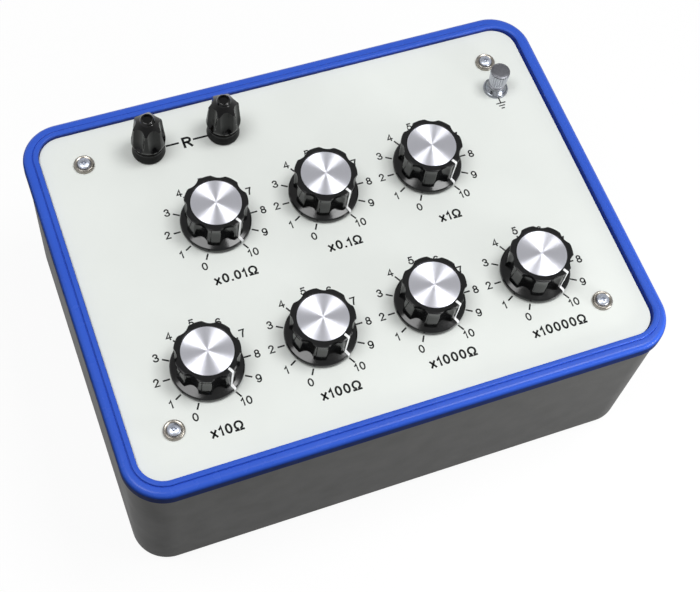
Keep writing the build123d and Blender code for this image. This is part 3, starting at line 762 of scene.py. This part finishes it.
def earth_post():
    """Flange and neck, clamp washer, and the knurled thumb nut."""
    flange = turned("flange", [
        (2.0, 0.0), (5.95, 0.0), (5.95, 0.9, 0.25), (5.3, 1.4, 0.15), (5.15, 1.25), (4.9, 1.6, 0.1),
        (4.2, 2.7, 0.5), (3.9, 3.4), (2.0, 3.4)], FLANGE_GREY, closed=True)
    made = placed(flange, "earth_flange", EARTH)
    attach(made, "case")
    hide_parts("earth_base")
    washer = turned("washer", [(2.05, 3.45), (4.2, 3.45, 0.2), (4.2, 4.45, 0.2), (2.05, 4.45)],
                    SATIN_SILVER, closed=True)
    made = placed(washer, "earth_washer", EARTH)
    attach(made, "earth_clamp")
    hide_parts("earth_clamp_washer")
    nut = turned("nut", [
        (0, 12.9), (2.05, 12.9), (2.05, 4.5), (3.7, 4.5, 0.2), (3.75, 5.95, 0.1), (3.6, 6.1), (4.15, 13.6),
        (4.6, 13.8, 0.1), (4.55, 14.3, 0.3), (3.7, 14.45, 0.1), (3.6, 14.35), (3.45, 14.45), (0, 14.45)],
        NUT_SILVER)
    nut = grow("knurled_nut", nut, {
        "Count": ("NodeSocketInt", 22),
        "Radius": ("NodeSocketFloat", 3.95 * MM),
        "Ridge": ("NodeSocketFloat", 0.5 * MM),
        "Height": ("NodeSocketFloat", 7.5 * MM),
        "Lean": ("NodeSocketVector", (0.0, radians(4.4), 0.0)),
        "Middle": ("NodeSocketVector", (0.0, 0.0, (PANEL + 9.9) * MM)),
    }, ridges, NUT_SILVER)
    made = placed(nut, "earth_knurled_nut", EARTH)
    drop(flange, washer, nut)
    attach(made, "earth_nut")
    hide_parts("earth_thumb_nut")


earth_post()


# Panel screws in cup washers

def cross(length, width):
    """Radius of a plus-shaped recess, seen from its middle."""
    def reach(angle):
        off = (angle + pi / 4) % (pi / 2) - pi / 4
        if abs(tan(off)) < width / length:
            return length / cos(off)
        return width / abs(sin(off))
    return reach


def screws():
    """Raised countersunk heads with a tapered cross recess, in turned cups."""
    samples = 96
    head = [circle(r, PANEL + z, samples) for r, z in soften([
        (0, -12.0), (1.5, -12.0), (1.5, 0.0), (3.05, 1.5, 0.2), (2.75, 2.05, 0.9), (1.75, 2.5)], steps=4)]
    # The recess narrows downwards: length and width from the middle, and height
    for length, width, z in ((1.3, 0.36, 2.58), (1.22, 0.3, 2.48), (0.6, 0.22, 1.7)):
        head.append(circle(cross(length, width), PANEL + z, samples))
    head.append(circle(0, PANEL + 1.55))
    made = copy_to("cross_head_screws", skin("screw", head, SCREW_ZINC), SCREWS, SCREW_ZINC, most_turn=pi / 2)
    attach(made, "case")
    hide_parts("panel_screws")
    cup = turned("cup", [
        (1.65, 0.0), (4.75, 0.0, 0.15), (4.65, 1.2, 0.6), (4.05, 1.75, 0.35), (3.1, 1.45, 0.1)],
        NICKEL, samples=samples, closed=True, steps=4)
    made = copy_to("rolled_cup_washers", cup, SCREWS, NICKEL)
    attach(made, "case")
    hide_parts("cup_washers")


screws()


# Printing on the panel

# Half the thickness of the ink, which sinks into the enamel as far as it stands proud
INK_LIFT = 0.03


def arc(x, y, wide, high, first, last):
    """Points along part of an ellipse, angles in degrees."""
    turns = np.radians(np.linspace(first, last, 3 + int(abs(last - first) / 14)))
    return [(x + wide * cos(a), y + high * sin(a)) for a in turns]


# Centre lines of plain sans-serif figures: width over height, and lines in a box from 0 to 1
ROUND_SIX = [arc(0.5, 0.31, 0.5, 0.31, 90, 450), arc(0.56, 0.5, 0.56, 0.5, 180, 48)]
FIGURES = {
    "0": (0.66, [arc(0.5, 0.5, 0.5, 0.5, 90, 450)]),
    "1": (0.42, [[(0.0, 0.72), (0.42, 0.83), (0.8, 1.0), (0.8, 0.0)]]),
    "2": (0.66, [arc(0.5, 0.72, 0.46, 0.28, 170, -25) + [(0.02, 0.0), (1.0, 0.0)]]),
    "3": (0.66, [arc(0.48, 0.75, 0.43, 0.25, 160, -90) + arc(0.48, 0.26, 0.52, 0.26, 90, -165)]),
    "4": (0.7, [[(1.0, 0.27), (0.0, 0.27), (0.72, 1.0), (0.72, 0.0)]]),
    "5": (0.66, [[(0.92, 1.0), (0.2, 1.0), (0.08, 0.5)] + arc(0.47, 0.33, 0.53, 0.33, 140, -165)]),
    "6": (0.66, ROUND_SIX),
    "7": (0.64, [[(0.0, 1.0), (1.0, 1.0), (0.6, 0.5), (0.36, 0.0)]]),
    "8": (0.66, [arc(0.5, 0.76, 0.41, 0.24, 90, 450), arc(0.5, 0.26, 0.5, 0.26, 90, 450)]),
    "9": (0.66, [[(1 - x, 1 - y) for x, y in line] for line in ROUND_SIX]),
    "x": (0.62, [[(0.05, 0.0), (0.95, 0.68)], [(0.05, 0.68), (0.95, 0.0)]]),
    ".": (0.2, [[(0.5, 0.0), (0.5, 0.001)]]),
    "R": (0.76, [[(0.0, 0.0), (0.0, 1.0), (0.55, 1.0)] + arc(0.6, 0.75, 0.4, 0.25, 80, -90) + [(0.0, 0.5)],
                 [(0.5, 0.5), (1.0, 0.0)]]),
    "\u03a9": (0.88, [[(0.0, 0.0), (0.33, 0.0)] + arc(0.5, 0.57, 0.5, 0.43, 244, -64)
                     + [(0.67, 0.0), (1.0, 0.0)]]),
}


def lettering(text, place, height, stroke):
    """The lines of a text and their width, with the text's middle at a place on the panel."""
    wide = [FIGURES[letter][0] * height for letter in text]
    gap = 0.15 * height
    x = place[0] - (sum(wide) + gap * (len(text) - 1)) / 2 + stroke / 2
    y = place[1] - (height - stroke) / 2
    lines = []
    for letter, width in zip(text, wide):
        for line in FIGURES[letter][1]:
            lines.append(([(x + u * (width - stroke), y + v * (height - stroke)) for u, v in line], stroke))
        x += width + gap
    return lines


def printed(name, lines):
    """Lines of ink, each a list of points and a width, as thin closed ribbons on the panel."""
    points, faces = [], []
    # The least share of a corner's mitre, so that sharp corners don't grow long
    mitre = 0.55
    for line, width in lines:
        line = [Vector(point) for point in line]
        loop = (line[0] - line[-1]).length < 1e-4
        if loop:
            line.pop()
        count, start = len(line), len(points)
        for i, here in enumerate(line):
            ahead = (line[(i + 1) % count] - here).normalized()
            behind = (here - line[i - 1]).normalized()
            if not loop and i == 0:
                behind = ahead
                here = here - ahead * width / 2
            if not loop and i == count - 1:
                ahead = behind
                here = here + behind * width / 2
            along = (ahead + behind).normalized()
            across = Vector((-along.y, along.x))
            side = across * (width / 2 / max(across.dot(Vector((-behind.y, behind.x))), mitre))
            for spot, z in ((here + side, -1), (here + side, 1), (here - side, 1), (here - side, -1)):
                points.append((spot.x, spot.y, PANEL + z * INK_LIFT))
        for i in range(count if loop else count - 1):
            a, b = start + 4 * i, start + 4 * ((i + 1) % count)
            faces += [(a + k, a + (k + 1) % 4, b + (k + 1) % 4, b + k) for k in range(4)]
        if not loop:
            end = start + 4 * (count - 1)
            faces += [(start + 3, start + 2, start + 1, start), (end, end + 1, end + 2, end + 3)]
    made = piece(name, points, faces, INK)
    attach(made, "case")


def printing():
    """Marks and numerals of the dials, the multipliers, R with its two dashes, and the earth symbol."""
    positions = 11
    marks = grow("dial_marks", spots("dial_marks", DIALS, PANEL), {
        "Count": ("NodeSocketInt", positions),
        "First": ("NodeSocketFloat", radians(DIAL_FIRST)),
        "Step": ("NodeSocketFloat", radians(DIAL_STEP)),
        "Inner radius": ("NodeSocketFloat", 16.4 * MM),
        "Outer radius": ("NodeSocketFloat", 19.6 * MM),
        "Width": ("NodeSocketFloat", 0.74 * MM),
        "Thickness": ("NodeSocketFloat", 2 * INK_LIFT * MM),
    }, dial_marks, INK)
    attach(marks, "case")

    numerals = []
    size, stroke = 3.95, 0.66
    for x, y in DIALS:
        for k in range(positions):
            angle = radians(DIAL_FIRST - DIAL_STEP * k)
            reach = 23.0 if k == 0 else 22.4
            numerals += lettering(str(k), (x + reach * cos(angle), y + reach * sin(angle)), size, stroke)
    printed("dial_numerals", numerals)

    labels = (
        ("x0.01\u03a9", (-52.0, -4.6)), ("x0.1\u03a9", (-0.3, -3.9)), ("x1\u03a9", (50.8, -4.6)),
        ("x10\u03a9", (-78.5, -72.8)), ("x100\u03a9", (-26.9, -71.0)), ("x1000\u03a9", (24.9, -71.5)),
        ("x10000\u03a9", (76.1, -72.0)),
    )
    size, stroke = 4.75, 0.92
    lines = [line for text, place in labels for line in lettering(text, place, size, stroke)]
    lines += lettering("R", (-51.5, 68.2), 5.8, 1.15)
    lines += [([(-61.0, 68.8), (-55.7, 68.8)], 0.95), ([(-48.0, 68.8), (-41.7, 68.8)], 0.95)]
    printed("range_labels", lines)

    x, y = EARTH[0] - 0.7, EARTH[1] - 8.5
    width, gap = 0.58, 1.45
    bars = [([(x, y + 0.4), (x, y + 3.2)], width)]
    for i, half in enumerate((2.1, 1.25, 0.55)):
        bars.append(([(x - half, y - gap * i), (x + half, y - gap * i)], width))
    printed("earth_symbol", bars)


printing()


# Finishes of the CAD nodes that stay as they are

KEPT = {
    "front_panel": PANEL_ENAMEL, "switch_frames": ZINC_STEEL, "switch_nuts": NICKEL,
    "switch_wafers": LAMINATE, "switch_lugs": TINNED, "resistor_cards": CARD_GREEN, "bus_wires": TINNED,
    "terminal_insulators": CAP_BLACK, "terminal_studs": BRASS, "terminal_nuts": NICKEL,
    "earth_stud": BRASS, "earth_back_nut": NICKEL,
}
for number in range(1, 8):
    KEPT[f"switch_shaft_{number}"] = ZINC_STEEL
    KEPT[f"switch_rotor_{number}"] = BRASS
for node, dress in KEPT.items():
    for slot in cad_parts[node].material_slots:
        slot.material = dress


# Floor, lamps, world and camera

def seen_directly(tree):
    """1 for what the camera, mirrors and glass see, 0 for the light that falls on the object."""
    path = add(tree, "ShaderNodeLightPath").outputs
    seen = add(tree, "ShaderNodeMath", {0: path["Is Camera Ray"], 1: path["Is Glossy Ray"]},
               operation="MAXIMUM")
    clear = add(tree, "ShaderNodeMath", {0: seen.outputs["Value"], 1: path["Is Transmission Ray"]},
                operation="MAXIMUM")
    return clear.outputs["Value"]


def floor():
    """White paper floor that keeps a soft part of the object's shadow."""
    made = bpy.data.materials.new("White background paper")
    made.use_nodes = True
    tree = made.node_tree
    shader = tree.nodes["Principled BSDF"]
    shader.inputs["Roughness"].default_value = 0.9
    seen = seen_directly(tree)
    # The light that the paper throws back on the object's sides is kept low, as from a table
    paper = add(tree, "ShaderNodeMix", {"Factor": seen, "A": srgb("#6E6E6E"), "B": srgb("#F4F4F4")},
                data_type="RGBA")
    tree.links.new(paper.outputs["Result"], shader.inputs["Base Color"])
    glow = add(tree, "ShaderNodeEmission", {"Color": (1, 1, 1, 1), "Strength": 1.0})
    share = add(tree, "ShaderNodeMath", {0: seen, 1: 0.92}, operation="MULTIPLY")
    mix = add(tree, "ShaderNodeMixShader", {"Fac": share.outputs["Value"], 1: shader.outputs["BSDF"],
                                            2: glow.outputs["Emission"]})
    tree.links.new(mix.outputs["Shader"], tree.nodes["Material Output"].inputs["Surface"])
    size = 4000.0
    sheet = piece("paper_floor", [(-size, -size, 0), (size, -size, 0), (size, size, 0), (-size, size, 0)],
                  [(0, 1, 2, 3)], made)
    sheet.data.materials.clear()
    sheet.data.materials.append(made)


def lamp(name, place, aim, size, power):
    """A soft rectangular lamp, places in mm."""
    data = bpy.data.lights.new(name, "AREA")
    data.shape = "RECTANGLE"
    data.size, data.size_y = size[0] * MM, size[1] * MM
    data.energy = power
    made = bpy.data.objects.new(name, data)
    made.location = Vector(place) * MM
    made.rotation_euler = (Vector(aim) - Vector(place)).to_track_quat("-Z", "Y").to_euler()
    made.visible_camera = False
    bpy.context.scene.collection.objects.link(made)


floor()
lamp("left_soft_lamp", (-702, 24, 1967), (0, 0, 95), (820, 820), 15.0)
lamp("right_soft_lamp", (734, -64, 1955), (0, 0, 95), (680, 680), 16.5)
lamp("low_front_lamp", (290, -310, 105), (90, -90, 45), (160, 120), 1.25)

world = bpy.data.worlds.new("Pale studio")
bpy.context.scene.world = world
world.use_nodes = True
tree = world.node_tree
room = tree.nodes["Background"]
room.inputs["Color"].default_value = (1, 1, 1, 1)
# The light that falls on the object comes mostly from overhead
direction = add(tree, "ShaderNodeTexCoord").outputs["Generated"]
height = add(tree, "ShaderNodeSeparateXYZ", {"Vector": direction}).outputs["Z"]
overhead = add(tree, "ShaderNodeMapRange", {"Value": height, "From Min": 0.0, "From Max": 1.0, "To Min": 0.1,
                                            "To Max": 0.42})
tree.links.new(overhead.outputs["Result"], room.inputs["Strength"])
# What the camera and mirrors see: white at the horizon, a darker ceiling above the lamps
wall = add(tree, "ShaderNodeMapRange", {"Value": height, "From Min": 0.2, "From Max": 0.6, "To Min": 1.0,
                                        "To Max": 0.5}, interpolation_type="SMOOTHSTEP")
backdrop = add(tree, "ShaderNodeBackground", {"Color": (1, 1, 1, 1), "Strength": wall.outputs["Result"]})
both = add(tree, "ShaderNodeMixShader", {"Fac": seen_directly(tree), 1: room.outputs["Background"],
                                         2: backdrop.outputs["Background"]})
tree.links.new(both.outputs["Shader"], tree.nodes["World Output"].inputs["Surface"])

# The camera, fitted to the photograph, in metres and radians
view = bpy.data.cameras.new("Photo view")
view.sensor_fit = "HORIZONTAL"
view.sensor_width = 36.0
view.lens = 75.937
view.clip_start = 0.01
camera = bpy.data.objects.new("Photo view", view)
bpy.context.scene.collection.objects.link(camera)
camera.location = (-0.160855, -0.294195, 0.662979)
camera.rotation_euler = (0.48136827, -0.0895955, -0.35590984)
bpy.context.scene.camera = camera
bpy.context.scene.view_settings.view_transform = "Standard"
